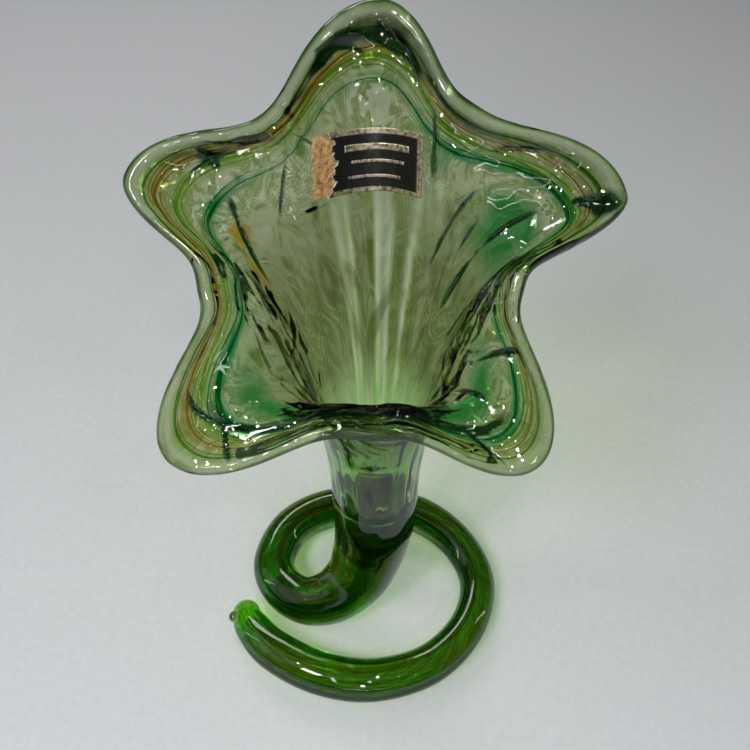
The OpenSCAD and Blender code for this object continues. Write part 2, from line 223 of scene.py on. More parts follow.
def foldAt(a, h, slim=1.0):  # how far the folds push the wall outwards
    push = np.zeros_like(a)
    for fromAngle, fromPlace, toAngle, toPlace, depth, width in folds:
        reach = wallReach(np.array((fromPlace + toPlace) / 2))
        x, y = turnFrom(a, fromAngle) * reach, (h - fromPlace) * bowlRise
        dx, dy = (toAngle - fromAngle) * reach, (toPlace - fromPlace) * bowlRise
        part = np.clip((x * dx + y * dy) / (dx * dx + dy * dy), 0, 1)
        off = np.hypot(x - part * dx, y - part * dy)
        push += depth * np.exp(-(off / (width * slim)) ** 2) * (0.35 + 0.65 * np.sin(np.pi * part))
    return push


def stainAndShadeAt(a, h):  # dark bottle green stains, and painted shade of the same green along the folds; amber and leaf green
    stainAndShade = np.zeros((len(a), 3))
    for angle, place, acrossSize, upSize, colour, strength in stains:
        x, y = turnFrom(a, angle) * wallReach(np.array(place)), (h - place) * bowlRise
        stainAndShade[:, colour] += strength * np.exp(-(x / acrossSize) ** 2 - (y / upSize) ** 2)
    # painted shade: the folds are darkened in the dark bottle green
    stainAndShade[:, 0] += 0.55 * foldAt(a, h, 0.42)
    return np.clip(stainAndShade, 0, 1)


# trails of colour round the rim. line: their place up the wall at each angle; strength: how thick
# they lie there; reach: half width of the tint; threads: offset, half width, half depth and depth of each
trails = dict(
    teal=dict(
        node="trail_teal", slotName="teal_glass", colours=("#1c9652", "#62bc84"), reach=0.024,
        line=[(0, 0.8), (20, 0.84), (61, 0.75), (90, 0.8), (125, 0.76), (165, 0.71), (197, 0.72),
              (221, 0.78), (240, 0.84), (272, 0.8), (306, 0.87), (348, 0.77)],
        strength=[(0, 0.9), (20, 1), (61, 1), (90, 0.3), (130, 0.4), (165, 1), (197, 1.5), (225, 1.8),
                  (270, 2), (300, 1.4), (320, 0.8), (348, 0.8)],
        threads=[(0, 0.006, 0.12, 0.6), (0.028, 0.002, 0.07, 0.45)]),
    paleGreen=dict(
        node="trail_green_inner", slotName="pale_green_glass", colours=("#a9cf6c", "#d5e8a6"), reach=0.036,
        line=[(0, 0.84), (57, 0.84), (90, 0.86), (161, 0.84), (192, 0.83), (225, 0.86), (272, 0.86),
              (310, 0.91)],
        strength=[(0, 0.8), (60, 1.2), (130, 1), (200, 1.1), (270, 1.2), (310, 0.6)],
        threads=[(0, 0.007, 0.12, 0.4), (-0.018, 0.003, 0.08, 0.7), (0.02, 0.003, 0.08, 0.55)]),
    amber=dict(
        node="trail_amber", slotName="amber_glass", colours=("#b49a3c", "#d8c878"), reach=0.034,
        line=[(0, 0.9), (57, 0.9), (90, 0.88), (115, 0.89), (127, 0.91), (161, 0.92), (192, 0.92),
              (220, 0.91), (272, 0.91), (310, 0.93)],
        strength=[(0, 0.8), (20, 0.3), (57, 0.7), (90, 0.3), (112, 1.2), (127, 1.3), (161, 0.6), (192, 1.4),
                  (225, 0.5), (272, 0.8), (310, 0.2), (345, 0.9)],
        threads=[(0, 0.007, 0.12, 0.5), (0.024, 0.003, 0.08, 0.65), (-0.02, 0.003, 0.08, 0.35)]),
    leafGreen=dict(
        node="trail_green_outer", slotName="leaf_green_glass", colours=("#5d9f4c", "#98c67c"), reach=0.02,
        line=[(0, 0.955), (90, 0.945), (161, 0.965), (192, 0.965), (272, 0.955), (310, 0.96)],
        strength=[(0, 0.8), (57, 1.3), (90, 0.9), (127, 0.9), (161, 0.6), (192, 1.2), (225, 0.5), (272, 1.5),
                  (310, 0.4)],
        threads=[(0, 0.006, 0.12, 0.55), (-0.014, 0.002, 0.07, 0.4)]),
)


def lineAt(a, knots):  # a soft line round the wall through [(angle, value)], closed at 360
    angles, values = zip(*knots)
    return sum(np.interp((a + off) % 360, angles, values, period=360) for off in range(-14, 15, 2)) / 15


def bandAt(a, h):  # how strongly the trails tint the wall: teal, greens, amber
    band = np.zeros((len(a), 3))
    for name, channel in (("teal", 0), ("paleGreen", 1), ("leafGreen", 1), ("amber", 2)):
        trail = trails[name]
        strength = lineAt(a, trail["strength"])
        off = (h - lineAt(a, trail["line"])) / (trail["reach"] * (0.6 + 0.5 * strength))
        band[:, channel] += np.clip(strength, 0, 1) * np.exp(-off ** 2)
    return np.clip(band, 0, 1)


def wallShift(a, h, inside):  # how far the outside or the inside stands out from its even place
    fade = ease((h + 0.9) / 0.3) * ease((1.02 - h) / 0.14)
    ribs = vase["ribDepth"] * np.cos(np.radians(vase["ribs"] * a)) * ease((0.72 - h) / 0.35)
    even = vase["wave"] * waves(a, h, 11 if inside else 5, 9, 14)
    even += vase["fineWave"] * waves(a, h, 12 if inside else 6, 26, 44) * ease((h - 0.08) / 0.3)
    even += vase["wrinkle"] * waves(a, h, 13 if inside else 7, 64, 105, 34) * ease((h - 0.12) / 0.3)
    return fade * labelRoom(a, h) * (even * (0.5 + 0.5 * ease((h + 0.1) / 0.5))
                                     + (ribs if inside else 0.3 * ribs)
                                     + foldAt(a, h) * (1.0 if inside else 0.5))


def neckRadius(h):  # h runs from -1 at the stem to 0 at the bowl
    s = h + 1
    start, end = 1.2, 5.5  # slopes that meet the stem and the bowl without a kink
    return ((2 * s ** 3 - 3 * s ** 2 + 1) * vase["stemR"] + (s ** 3 - 2 * s ** 2 + s) * start
            + (3 * s ** 2 - 2 * s ** 3) * vase["neckR"] + (s ** 3 - s ** 2) * end)


def glassPoint(a, h, depth):  # a point of the neck's or bowl's wall, at a share of its thickness
    a, h = np.broadcast_arrays(np.asarray(a, float), np.asarray(h, float))
    depth = np.broadcast_to(depth, a.shape)
    t = np.maximum(h, 0)
    thick = halfWall(t)
    level = (1 - depth) * (thick + wallShift(a, h, False)) + depth * (-thick + wallShift(a, h, True))
    bowl = bezier(profile(a), t) + level[:, None] * wallOut(a, t)
    r = neckRadius(np.minimum(h, 0)) - vase["neckWall"] / 2 + level
    neck = np.stack([r * cosd(a), r * sind(a), vase["neckTop"] + h * neckRise], -1)
    return np.where((h < 0)[:, None], neck, bowl)


# the stem and the tail, with tool marks like a ladder over the front of the coil; twist: degrees in 60 mm
tail = dict(twist=26, wobble=0.16, ladderPitch=1.35, ladderDepth=0.10, ladderAngle=84, ladderFrom=12.6,
            ladderTo=17.6)
# their centre line: x, y, z and radius of each knot
tailRoute = np.array([
    (0, 0, 58, 15.6), (-1, 0, 46, 15), (-3, -1, 34, 14.2), (-7.5, -4, 21.5, 12.9), (-17, -8, 12.6, 11.3),
    (-29, -8.5, 9.3, 9.8), (-39.5, -1, 8.6, 9), (-43.5, 12, 8.4, 8.8), (-37, 29, 8.4, 8.8), (-21, 39, 8.4, 8.8),
    (0, 40.5, 8.2, 8.6), (20, 36, 7.8, 8.2), (36, 22, 7.3, 7.7), (43.5, 2, 7, 7.4), (38, -19, 7, 7.4),
    (22, -35.5, 7.4, 7.8), (0, -42.5, 7.8, 8.2), (-22, -39.5, 8, 8.4), (-40.5, -30, 7.7, 8.1),
    (-50.5, -19, 6.6, 7), (-53.5, -12.5, 5.4, 5.8)], float)
routeEnd = len(tailRoute) - 1


def routeAt(s):  # centre and radius at a place along the route
    s = np.clip(np.asarray(s, float), 0, routeEnd)
    i = np.minimum(s.astype(int), routeEnd - 1)
    f = (s - i)[:, None]
    p, q, u, v = (tailRoute[np.clip(i + k, 0, routeEnd)] for k in (-1, 0, 1, 2))
    return 0.5 * (2 * q + (u - p) * f + (2 * p - 5 * q + 4 * u - v) * f ** 2 + (3 * q - p - 3 * u + v) * f ** 3)


def tailFrame(s):  # centre, radius, heading, top and side
    here = routeAt(s)
    ahead = unit(routeAt(s + 0.05)[:, :3] - routeAt(s - 0.05)[:, :3])
    blend = ease(np.clip(s, 0, 1) / 0.5)[:, None]
    ahead = unit(ahead * blend + np.array([0, 0, -1]) * (1 - blend))
    lean = np.array([-0.05, 0, 1])
    top = unit(lean - (ahead @ lean)[:, None] * ahead)
    return here[:, :3], here[:, 3], ahead, top, np.cross(top, ahead)


routeFine = np.linspace(0, routeEnd, 2001)
routeSteps = np.linalg.norm(np.diff(routeAt(routeFine)[:, :3], axis=0), axis=1)
routeLength = np.concatenate([[0], np.cumsum(routeSteps)])


def lengthAt(s):
    return np.interp(s, routeFine, routeLength)


def tailPoint(s, angle, radius):  # angle from the top of the tail, radius in millimetres
    centre, _, _, top, side = tailFrame(s)
    return centre + radius[:, None] * (cosd(angle)[:, None] * top + sind(angle)[:, None] * side)


def tailRadius(s, angle):
    r = routeAt(s)[:, 3]
    run = lengthAt(s)
    uneven = tail["wobble"] * np.sin(run / 9.5 + 2 * sind(angle)) * np.sin(run / 23 + 1) * ease((s - 3) / 3)
    ladder = (np.exp(-((angle - tail["ladderAngle"]) / 30) ** 2)
              * ease((s - tail["ladderFrom"]) / 0.8) * ease((tail["ladderTo"] - s) / 0.8)
              * tail["ladderDepth"] * np.sin(2 * np.pi * run / tail["ladderPitch"]))
    return r + uneven + ladder


# a grid wound round a form: place(u, w) gives the points, their flow (cos, sin, distance along the glass),
# and the stains, painted fold shade and bands of colour there
def woundGrid(name, around, along, place):
    bpy.ops.object.select_all(action="DESELECT")
    bpy.ops.mesh.primitive_grid_add(x_subdivisions=around, y_subdivisions=along, size=1)
    piece = bpy.context.object
    piece.name = piece.data.name = name
    co = np.empty(len(piece.data.vertices) * 3)
    piece.data.vertices.foreach_get("co", co)
    u, w = co.reshape(-1, 3)[:, 0] + 0.5, co.reshape(-1, 3)[:, 1] + 0.5
    points, *marks = place(u, w)
    piece.data.vertices.foreach_set("co", (points * mm).ravel())
    for attribute, values in zip(("flow", "stainAndShade", "band"), marks):
        piece.data.attributes.new(attribute, "FLOAT_VECTOR", "POINT").data.foreach_set("vector", values.ravel())
    return piece


def pick(*pieces):  # only these are selected, and the first is active
    bpy.ops.object.select_all(action="DESELECT")
    for piece in pieces:
        piece.select_set(True)
    bpy.context.view_layer.objects.active = pieces[0]


def closeUp(piece):  # seams and poles are merged, and faces turned outwards
    pick(piece)
    bpy.ops.object.mode_set(mode="EDIT")
    bpy.ops.mesh.select_all(action="SELECT")
    bpy.ops.mesh.remove_doubles(threshold=2e-6)
    bpy.ops.mesh.dissolve_degenerate(threshold=1e-7)
    bpy.ops.mesh.normals_make_consistent(inside=False)
    bpy.ops.object.mode_set(mode="OBJECT")
    bpy.ops.object.shade_smooth()


def finishPiece(piece, material, slotName, *nodes):
    piece.data.materials.append(material)
    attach(piece, "root")
    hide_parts(*nodes)


def flowOf(angle, distance):  # distance in millimetres up from the top of the neck
    return np.stack([cosd(angle), sind(angle), distance * mm + 0 * angle], -1)


def rise(h):  # millimetres above the top of the neck
    return np.where(h < 0, h * neckRise, h * bowlRise)


def joinPieces(name, made):
    pick(*made)
    bpy.ops.object.join()
    made[0].name = made[0].data.name = name
    return made[0]


# the glass body: hollow, lip, wall, neck, stem and tail in one skin, and how finely it is divided
body = dict(around=320, tailAround=48, bubbleRows=12, neckRows=12, wallRows=84, lipRows=16, outerNeckRows=16,
            neckEnd=-0.985,  # short of the stem, so that the tail is bridged to it
            stemRows=165, ladderRows=240, tipRows=27, endRows=15, fineFrom=12.5, fineTo=17.7)


def skinRows():  # the section of the hollow part, from the pole of its foot over the lip to the stem
    hollow = [("bubble", b) for b in np.linspace(0, 90, body["bubbleRows"], endpoint=False)]
    hollow += [("inside", h) for h in np.linspace(hollowFoot, 0, body["neckRows"], endpoint=False)]
    hollow += [("inside", h) for h in np.linspace(0, 1, body["wallRows"], endpoint=False)]
    lip = [("lip", b) for b in np.linspace(180, 0, body["lipRows"])]
    outer = [("outside", h) for h in np.linspace(1, 0, body["wallRows"], endpoint=False)[1:]]
    outer += [("outside", h) for h in np.linspace(0, body["neckEnd"], body["outerNeckRows"])]
    return hollow + lip + outer


rows = skinRows()
rowKinds = np.array([kind for kind, _ in rows])
rowValues = np.array([value for _, value in rows])


def lipPoint(a, b):  # the rolled lip, uneven as it was fired and rolled by hand
    end = np.ones_like(a)
    on = unit(bezierSlope(profile(a), end))
    out = wallOut(a, end)
    r = vase["lipRadius"] * (1 + 0.07 * np.sin(np.radians(5 * a) + 1) + 0.05 * np.sin(np.radians(13 * a) + 2))
    return bezier(profile(a), end) + r[:, None] * (cosd(b)[:, None] * out + sind(b)[:, None] * on)


def placeSkin(u, w):
    a = 360 * u
    row = np.rint(w * (len(rows) - 1)).astype(int)
    kind, value = rowKinds[row], rowValues[row]
    points, distance = np.zeros((len(a), 3)), np.zeros_like(a)
    here = kind == "bubble"
    r = (neckRadius(hollowFoot) - vase["neckWall"]) * sind(value[here])
    points[here] = np.stack([r * cosd(a[here]), r * sind(a[here]),
                             vase["bubbleLow"] + vase["bubbleRound"] * (1 - cosd(value[here]))], -1)
    distance[here] = points[here][:, 2] - vase["neckTop"]
    for side, depth in (("inside", 1), ("outside", 0)):
        here = kind == side
        points[here] = glassPoint(a[here], value[here], depth)
        distance[here] = rise(value[here])
    here = kind == "lip"
    points[here] = lipPoint(a[here], value[here])
    distance[here] = bowlRise + vase["lipRadius"] * sind(value[here])
    h = np.where(distance < 0, distance / neckRise, distance / bowlRise)
    return points, flowOf(a, distance), stainAndShadeAt(a, h), bandAt(a, h)


def tailStops():  # places of the tail's rows, finer at the ladder, and how far each is rounded in
    low, high = body["fineFrom"], body["fineTo"]
    stops = np.unique(np.concatenate([np.linspace(0, low, body["stemRows"]),
                                      np.linspace(low, high, body["ladderRows"]),
                                      np.linspace(high, routeEnd, body["tipRows"])]))
    rounding = np.linspace(0, 90, body["endRows"])[1:]
    return (np.concatenate([stops, np.full(len(rounding), float(routeEnd))]),
            np.concatenate([np.zeros(len(stops)), rounding]))


tailPlaces, tailTurns = tailStops()


def placeTail(u, w):
    row = np.rint(w * (len(tailPlaces) - 1)).astype(int)
    s, b = tailPlaces[row], tailTurns[row]
    angle = 360 * u - 180
    points = tailPoint(s, angle, tailRadius(s, angle) * cosd(b))
    points += (routeAt(s)[:, 3] * sind(b))[:, None] * tailFrame(s)[2]
    points[:, 2] = np.maximum(points[:, 2], 0)
    run = lengthAt(s) + routeAt(s)[:, 3] * sind(b)
    flow = flowOf(360 * u + tail["twist"] * run / 60, -neckRise - run)
    return points, flow, np.zeros_like(points), np.zeros_like(points)


def makeBody():
    upper = woundGrid("glassBody", body["around"], len(rows) - 1, placeSkin)
    lower = woundGrid("tailSkin", body["tailAround"], len(tailPlaces) - 1, placeTail)
    closeUp(upper)
    closeUp(lower)
    joinPieces("glassBody", [upper, lower])
    bpy.ops.object.mode_set(mode="EDIT")
    bpy.ops.mesh.select_all(action="DESELECT")
    bpy.ops.mesh.select_mode(type="EDGE")
    bpy.ops.mesh.select_non_manifold(extend=False, use_wire=False, use_multi_face=False,
                                     use_non_contiguous=False, use_verts=False)
    bpy.ops.mesh.bridge_edge_loops()
    bpy.ops.mesh.select_all(action="SELECT")
    bpy.ops.mesh.normals_make_consistent(inside=False)
    bpy.ops.object.mode_set(mode="OBJECT")
    bpy.ops.object.shade_smooth()
    return upper


# wrinkle: width in millimetres; shades: the channel of their attribute, colour, and how ragged they start. The
# dark bottle green of the stains also paints shade along the folds
glassLook = dict(
    ior=1.5, lampTint="#eef3dc", bulkColour="#a6d33f", bulkDensity=72,  # deep green where it is thick
    wrinkle=15, wrinkleDepth=0.0014,
    trailShades=((1, "#93b45a"), (2, "#a89236"), (0, "#10904c")),
    stainAndFoldShades=((2, "#3f9448", 0.7, 1.4), (1, "#c0a03a", 0.8, 1.25), (0, "#173f14", 0.74, 0.98)),
)


def makeBodyGlass():
    # soda-lime glass, hand-blown and fire-polished: clear, with a wet gloss and drawn-out streaks
    material, tree, shader, output = newMaterial("paleGreenSodaGlass")
    makeClear(tree, shader, output, glassLook["ior"], glassLook["lampTint"])
    flow = addNode(tree, "Attribute", attribute_name="flow").outputs["Vector"]
    parts = addNode(tree, "SeparateXYZ", {0: flow})
    along = parts.outputs["Z"]

    # streaks run lengthwise. The unit round the glass is its own radius, so a scale is that radius over the
    # streak's width: 5 mm on the neck, 20 mm in the throat, 2 mm on the coil, coarser than the real ones
    stretched = addNode(tree, "Mapping", {"Vector": flow, "Scale": (1, 1, 5)})
    fine = addNode(tree, "TexNoise", {"Vector": stretched, "Scale": 17 / 5, "Detail": 4, "Roughness": 0.6})
    coarse = addNode(tree, "TexNoise", {"Vector": stretched, "Scale": 26 / 20, "Detail": 2})
    drawn = addNode(tree, "Mapping", {"Vector": flow, "Scale": (1, 1, 2.2)})
    lines = addNode(tree, "TexNoise", {"Vector": drawn, "Scale": 8.8 / 2, "Detail": 4, "Roughness": 0.65})
    streaks = addNode(tree, "ValToRGB", {0: lines})
    setStops(streaks, [(0.34, "#7ee85a"), (0.40, "#9cf06c"), (0.412, "#3c7a2a"), (0.425, "#e2dc78"),
                       (0.455, "#fcf6a6"), (0.462, "#5c8a34"), (0.49, "#b8cc68"), (0.505, "#4a8a30"),
                       (0.52, "#aef084"), (0.56, "#94e470"), (0.567, "#faf4a0"), (0.58, "#8a8438"),
                       (0.62, "#dcd088"), (0.68, "#7cc854")])
    neckTone = addNode(tree, "ValToRGB", {0: fine})
    setStops(neckTone, [(0.34, "#a4f09a"), (0.42, "#c8fab8"), (0.43, "#eef6d4"), (0.48, "#e6eab8"),
                        (0.49, "#b4f0a0"), (0.54, "#ccf8b8"), (0.56, "#ecf0c4"), (0.62, "#a8ea98"),
                        (0.66, "#e2f2ba")])

    # the wall is khaki green in flames pulled up with it, 15 mm wide on the bowl and crisp at their edges
    pulled = addNode(tree, "Mapping", {"Vector": flow, "Scale": (1, 1, 13)})
    flames = addNode(tree, "TexNoise", {"Vector": pulled, "Scale": 46.5 / 15, "Detail": 4, "Roughness": 0.55,
                                        "Distortion": 1.4})
    tone = addNode(tree, "ValToRGB", {0: flames})
    setStops(tone, [(0.34, "#7c9450"), (0.40, "#b9c48c"), (0.405, "#d3d7ae"), (0.46, "#c3ca98"),
                    (0.475, "#7f9858"), (0.50, "#d9dcb8"), (0.55, "#e4e6cb"), (0.56, "#93a866"),
                    (0.60, "#c9d09e"), (0.61, "#86a65a"), (0.66, "#dfe0bf")])

    # pale lime canes show as soft stripes up the throat
    angle = addNode(tree, "Math", {0: parts.outputs["Y"], 1: parts.outputs["X"]}, operation="ARCTAN2")
    bend = addNode(tree, "Math", {0: coarse, 1: 0.12, 2: angle}, operation="MULTIPLY_ADD")
    turn = addNode(tree, "MapRange", {"Value": bend, "From Min": -3.1416, "From Max": 3.1416})
    stripes = addNode(tree, "ValToRGB", {0: turn})
    setStops(stripes, [(0.634, "#000000"), (0.638, "#606060"), (0.648, "#606060"), (0.652, "#000000"),
                       (0.678, "#000000"), (0.682, "#d0d0d0"), (0.690, "#ffffff"), (0.698, "#606060"),
                       (0.703, "#000000"), (0.722, "#000000"), (0.726, "#f0f0f0"), (0.742, "#b0b0b0"),
                       (0.755, "#ffffff"), (0.760, "#000000"), (0.798, "#000000"), (0.802, "#ffffff"),
                       (0.812, "#a0a0a0"), (0.826, "#f0f0f0"), (0.830, "#000000"), (0.862, "#000000"),
                       (0.866, "#505050"), (0.876, "#000000")])
    inThroat = addNode(tree, "MapRange", {"Value": along, "From Min": 0.072, "From Max": 0.040})
    patchy = addNode(tree, "MapRange", {"Value": flames, "From Min": 0.40, "From Max": 0.53, "To Min": 0.35,
                                        "To Max": 1.0})
    shown = addNode(tree, "Math", {0: patchy, 1: inThroat}, operation="MULTIPLY")
    striped = addNode(tree, "Math", {0: stripes, 1: shown}, operation="MULTIPLY")
    # deeper in the throat the wall is painted a darker khaki: painted shade of the hollow
    paintedThroatShade = addNode(tree, "ValToRGB", {0: flames})
    setStops(paintedThroatShade, [(0.38, "#737d4e"), (0.45, "#8b9464"), (0.458, "#a9b184"), (0.50, "#97a26e"),
                    (0.508, "#78844f"), (0.55, "#8b9464"), (0.57, "#b0b78a"), (0.62, "#7f8a56")])
    shaded = addNode(tree, "Mix", {"Factor": inThroat, 6: tone, 7: paintedThroatShade}, data_type="RGBA")
    throatColour = addNode(tree, "Mix", {"Factor": striped, 6: shaded.outputs[2], 7: fromHex("#fbffe8")},
                           data_type="RGBA")

    # the rim's trails lie along it in fine threads, 1.5 mm wide and 15 mm long on a rim of 52 mm radius
    threads = addNode(tree, "Mapping", {"Vector": flow, "Scale": (1.3, 1.3, 260)})
    filaments = addNode(tree, "TexNoise", {"Vector": threads, "Scale": 52 / 20, "Detail": 3})
    split = addNode(tree, "MapRange", {"Value": filaments, "From Min": 0.40, "From Max": 0.56, "To Min": 0.45,
                                       "To Max": 1.3})
    bands = addNode(tree, "Attribute", attribute_name="band").outputs["Vector"]
    banded, wall = addNode(tree, "SeparateXYZ", {0: bands}), throatColour.outputs[2]
    for channel, shade in glassLook["trailShades"]:
        amount = addNode(tree, "Math", {0: banded.outputs[channel], 1: split}, operation="MULTIPLY",
                         use_clamp=True)
        wall = addNode(tree, "Mix", {"Factor": amount, 6: wall, 7: fromHex(shade)},
                       data_type="RGBA").outputs[2]

    # the rolled lip is pale, and its crest is painted dark green in a band of uneven width: painted shade that
    # stands for the dark outline of the bead
    onRim = addNode(tree, "MapRange", {"Value": along, "From Min": 0.1065, "From Max": 0.1095})
    crest = addNode(tree, "Math", {0: fine, 1: 0.0022, 2: along}, operation="MULTIPLY_ADD")
    paintedRimShade = addNode(tree, "ValToRGB", {0: addNode(tree, "MapRange", {"Value": crest, "From Min": 0.110,
                                                                    "From Max": 0.1145})})
    setStops(paintedRimShade, [(0.36, "#dcdfca"), (0.50, "#b0c08c"), (0.60, "#456a32"), (0.78, "#1c3a18")])
    wallColour = addNode(tree, "Mix", {"Factor": onRim, 6: wall, 7: paintedRimShade}, data_type="RGBA")

    # coil, neck and bowl meet softly, at heights in metres above the top of the neck
    onNeck = addNode(tree, "MapRange", {"Value": along, "From Min": -0.046, "From Max": -0.034})
    onBowl = addNode(tree, "MapRange", {"Value": along, "From Min": -0.006, "From Max": 0.014})
    lower = addNode(tree, "Mix", {"Factor": onNeck, 6: streaks, 7: neckTone}, data_type="RGBA")
    colour = addNode(tree, "Mix", {"Factor": onBowl, 6: lower.outputs[2], 7: wallColour.outputs[2]},
                     data_type="RGBA")

    # stains in the wall, and painted shade in dark bottle green along the folds, ragged at their edges
    marks = addNode(tree, "Attribute", attribute_name="stainAndShade").outputs["Vector"]
    stainedAndShaded, base = addNode(tree, "SeparateXYZ", {0: marks}), colour.outputs[2]
    for channel, shade, first, last in glassLook["stainAndFoldShades"]:
        ragged = addNode(tree, "Math", {0: stainedAndShaded.outputs[channel], 1: flames})
        amount = addNode(tree, "MapRange", {"Value": ragged, "From Min": first, "From Max": last})
        base = addNode(tree, "Mix", {"Factor": amount, 6: base, 7: fromHex(shade)},
                       data_type="RGBA").outputs[2]

    # shallow wrinkles where the bowl was pulled as it stiffened; the neck and coil are smooth
    place = addNode(tree, "TexCoord").outputs["Object"]
    ridges = addNode(tree, "TexNoise", {"Vector": place, "Scale": 1000 / glassLook["wrinkle"], "Detail": 2.5,
                                        "Distortion": 1.2}, noise_type="RIDGED_MULTIFRACTAL")
    grip = addNode(tree, "MapRange", {"Value": along, "From Min": 0.004, "From Max": 0.030})
    wrinkles = addNode(tree, "Bump", {"Height": ridges, "Strength": grip,
                                      "Distance": glassLook["wrinkleDepth"]})
    setInputs(shader, {"Base Color": base, "Normal": wrinkles})
    bulk = addNode(tree, "VolumeAbsorption", {"Color": fromHex(glassLook["bulkColour"]),
                                              "Density": glassLook["bulkDensity"]})
    setInputs(output, {"Volume": bulk})
    return material


# drawn colour rod, fused into glass of its own kind: it tints what is seen through it, and doesn't bend light
def makeRodGlass(name, colours):
    material, tree, shader, output = newMaterial(name)
    makeClear(tree, shader, output, 1, colours[1])
    flow = addNode(tree, "Attribute", attribute_name="flow").outputs["Vector"]
    stretched = addNode(tree, "Mapping", {"Vector": flow, "Scale": (1, 1, 6)})
    streaks = addNode(tree, "TexNoise", {"Vector": stretched, "Detail": 3,
                                         "Scale": 2.5 / 1})  # streaks of 1 mm on a rod of 2.5 mm radius
    ramp = addNode(tree, "ValToRGB", {0: streaks})
    setStops(ramp, [(0.36, colours[0]), (0.64, colours[1])])
    setInputs(shader, {"Base Color": ramp})
    return material


def makeTrail(name, trail):  # threads of colour that swell, thin and wander on their way round the bowl
    made = []
    for offset, halfWidth, halfThick, depth in trail["threads"]:
        def place(u, w):
            a, b = 360 * u, 360 * w
            thick = lineAt(a, trail["strength"]) * (1 + 0.25 * np.sin(np.radians(7 * a) + 300 * offset))
            centre = lineAt(a, trail["line"]) + offset * (1 + 0.5 * np.sin(np.radians(3 * a) + 90 * offset))
            centre += 0.003 * np.sin(np.radians(11 * a) + 200 * offset)
            return (glassPoint(a, np.minimum(centre + halfWidth * thick * cosd(b), 1),
                               depth + halfThick * thick * sind(b)), flowOf(a, centre * bowlRise))

        made.append(woundGrid(name, 240, 10, place))
        closeUp(made[-1])
    return joinPieces(name, made)


finishPiece(makeBody(), makeBodyGlass(), "clear_glass", "rim_lip", "bowl_wall", "neck")
print("glass body")

for name, trail in trails.items():
    piece = makeTrail(name + "Trail", trail)
    finishPiece(piece, makeRodGlass(name + "TrailGlass", trail["colours"]), trail["slotName"], trail["node"])
print("trails in the rim")

# canes up the throat: angle, from and to place up the wall, half width and lean in degrees
throat = dict(colours=("#ecfad0", "#fbfff0"),
              canes=[(44, -0.8, 0.5, 2.8, 14), (64, -0.8, 0.55, 3.6, 8), (82, -0.8, 0.55, 3.6, 8),
                     (111, -0.8, 0.54, 4.0, -4), (236, -0.8, 0.3, 4, 0), (305, -0.8, 0.3, 4, 0)])


def makeCanes(name, canes):
    made = []
    for i, (angle, low, high, width, lean) in enumerate(canes):
        def place(u, w):
            h = low + (high - low) * w
            slim = np.sqrt(np.clip(1 - (2 * w - 1) ** 4, 0, 1))
            a = angle + lean * (h - low) + width * slim * cosd(360 * u) * (1 + 0.15 * np.sin(9 * h + i))
            return glassPoint(a, h, 0.5 + 0.24 * slim * sind(360 * u)), flowOf(a, rise(h))

        made.append(woundGrid(name, 14, 60, place))
        closeUp(made[-1])
    return joinPieces(name, made)


finishPiece(makeCanes("throatCanes", throat["canes"]), makeRodGlass("limeCaneGlass", throat["colours"]),
            "pale_green_glass", "neck_canes")
print("canes in the throat")

# rods in the stem and tail, from one knot of its centre line to another. Each cane: angle from the top,
# how far out, half width and half thickness as shares of the radius, and its turn in ten knots
rods = dict(
    oliveStemCore=dict(
        node="stem_core", slotName="olive_glass", glass="oliveRodGlass", colours=("#b5b266", "#e0dca2"),
        low=0, high=6.2, canes=[(0, 0, 0.62, 0.5, 0), (60, 0.4, 0.2, 0.1, 30), (200, 0.5, 0.3, 0.12, -20)]),
    oliveCoilCore=dict(
        node="base_coil", slotName="olive_glass", glass="oliveRodGlass", low=5.8, high=19.2,
        canes=[(0, 0.05, 0.52, 0.42, 0), (-30, 0.62, 0.12, 0.08, 20), (120, 0.6, 0.3, 0.1, -30)]),
    brightGreenStrand=dict(
        node="strand_bright_green", slotName="leaf_green_glass", glass="brightGreenRodGlass",
        colours=("#6fe04c", "#b8f078"), low=0.1, high=19.6,
        canes=[(45, 0.72, 0.28, 0.12, 40), (95, 0.74, 0.2, 0.1, 0)]),
    amberStrand=dict(
        node="strand_amber", slotName="amber_glass", glass="amberRodGlass", colours=("#d8b868", "#efdc9c"),
        low=0.1, high=19.4, canes=[(-18, 0.74, 0.2, 0.09, -16)]),
    darkGreenStrand=dict(
        node="strand_dark_green", slotName="teal_glass", glass="darkGreenRodGlass",
        colours=("#52b47c", "#88d09c"), low=0.1, high=19.4, canes=[(-83, 0.72, 0.3, 0.12, 20)]),
    tipRods=dict(
        node="tail_tip", slotName="leaf_green_glass", glass="yellowGreenRodGlass",
        colours=("#b9f04e", "#e6ff8c"), low=18.6, high=20,
        canes=[(0, 0, 0.62, 0.55, 0), (95, 0.66, 0.25, 0.12, 0), (-70, 0.7, 0.2, 0.1, 0)]),
)


def makeRod(name, rod):
    made, low, high = [], rod["low"], rod["high"]
    for angle, out, wide, thick, turn in rod["canes"]:
        def place(u, w):
            s = low + (high - low) * w
            r = routeAt(s)[:, 3]
            slim = np.clip(1 - np.abs(2 * w - 1) ** 12, 0, 1) ** 0.5
            centre = angle + turn * (s - low) / 10
            across, inward = wide * slim * r * cosd(360 * u), thick * slim * r * sind(360 * u)
            reach = np.hypot(out * r + inward, across)
            spin = centre + np.degrees(np.arctan2(across, out * r + inward))
            points = tailPoint(s, spin, reach)
            points[:, 2] = np.maximum(points[:, 2], 0.4)  # clear of the underside
            return points, flowOf(360 * u, -neckRise - lengthAt(s))

        made.append(woundGrid(name, 20, int(14 * (high - low)), place))
        closeUp(made[-1])
    return joinPieces(name, made)


for name, rod in rods.items():
    rodGlass = bpy.data.materials.get(rod["glass"]) or makeRodGlass(rod["glass"], rod["colours"])
    finishPiece(makeRod(name, rod), rodGlass, rod["slotName"], rod["node"])
print("rods in the stem and tail")

# the lump left where the tail was sheared off
nub = dict(size=5.0, turn=75, sunk=0.5, rough=0.35, colour="#b7a95a", lampTint="#cdbf78")


